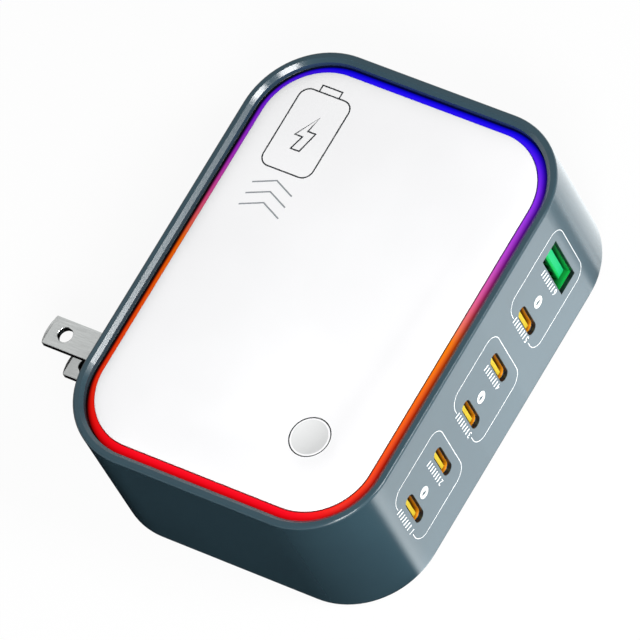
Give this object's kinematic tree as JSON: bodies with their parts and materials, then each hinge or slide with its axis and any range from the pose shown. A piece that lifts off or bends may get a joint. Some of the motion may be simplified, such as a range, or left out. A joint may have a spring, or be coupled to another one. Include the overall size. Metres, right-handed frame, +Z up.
{
  "type": "multi port usb desktop charger",
  "caption": "Flat rounded desktop charger with upright USB sockets in the front wall, a lit ring round a white top with a push button, and a fold-out mains plug in the back wall.",
  "frame": {"origin": "middle of the flat underside", "axes": "+X along the long side towards the wide socket, +Y from the sockets to the plug, +Z up to the white cover"},
  "size_m": [0.095, 0.087, 0.0314],
  "materials": {
    "slate_plastic": "satin moulded",
    "white_plastic": "satin moulded",
    "lit_diffuser": "glossy translucent, lit",
    "grey_button": "satin moulded",
    "dark_plastic": "moulded",
    "black_plastic": "moulded",
    "plated_steel": "nickel plated",
    "blade_metal": "nickel-plated brass, stamped",
    "orange_plastic": "moulded",
    "green_plastic": "moulded",
    "contact_gold": "gold plated",
    "board_green": "lacquered glass-fibre board",
    "board_white": "white-lacquered board",
    "lamp_white": "clear cast",
    "ferrite": "sintered",
    "copper_winding": "enamelled wire, taped",
    "capacitor_sleeve": "shrink sleeve",
    "yellow_plastic": "moulded",
    "aluminium_sheet": "bare sheet",
    "amber_film": "film"
  },
  "bodies": {
    "case": {"housing": "slate_plastic", "top_cover": "white_plastic", "light_ring": "lit_diffuser", "light_board": "board_white", "support_frame": "dark_plastic", "light_lamps": "lamp_white", "push_switch": "plated_steel", "usb_c_contacts": "contact_gold", "usb_a_shell": "plated_steel", "usb_a_tongue": "green_plastic", "usb_a_contacts": "contact_gold", "port_board": "board_green", "port_chips": "black_plastic", "board_header": "black_plastic", "plug_holder": "slate_plastic", "contact_line": "contact_gold", "contact_neutral": "contact_gold", "main_board": "board_green", "insulation_sheet": "amber_film", "board_screws": "plated_steel", "transformer_core": "ferrite", "transformer_winding": "copper_winding", "bulk_capacitors": "capacitor_sleeve", "line_capacitor": "yellow_plastic", "line_choke": "copper_winding", "choke_cradle": "black_plastic", "bridge_rectifier": "black_plastic", "mains_fuse": "black_plastic", "output_inductors": "ferrite", "output_capacitors": "aluminium_sheet", "heat_spreader": "aluminium_sheet", "power_transistors": "black_plastic", "light_ribbon": "amber_film", "ribbon_sockets": "board_white", "usb_c_shell_1": "plated_steel", "usb_c_tongue_1": "orange_plastic", "usb_c_shell_2": "plated_steel", "usb_c_tongue_2": "orange_plastic", "usb_c_shell_3": "plated_steel", "usb_c_tongue_3": "orange_plastic", "usb_c_shell_4": "plated_steel", "usb_c_tongue_4": "orange_plastic", "usb_c_shell_5": "plated_steel", "usb_c_tongue_5": "orange_plastic"},
    "button": {"button_cap": "grey_button", "switch_plunger": "black_plastic"},
    "plug": {"blade_carrier": "slate_plastic", "blade_line": "blade_metal", "blade_neutral": "blade_metal"}
  },
  "joints": [
    {"name": "button_press", "type": "slide", "parent": "case", "child": "button", "axis": [0, 0, -1], "range_m": [0, 0.00035], "stiffness_N_per_m": 3000},
    {"name": "plug_fold", "type": "hinge", "parent": "case", "child": "plug", "pos_m": [-0.0242, 0.03175, 0.0157], "axis": [0, 0, -1], "range_deg": [0, 90]}
  ]
}
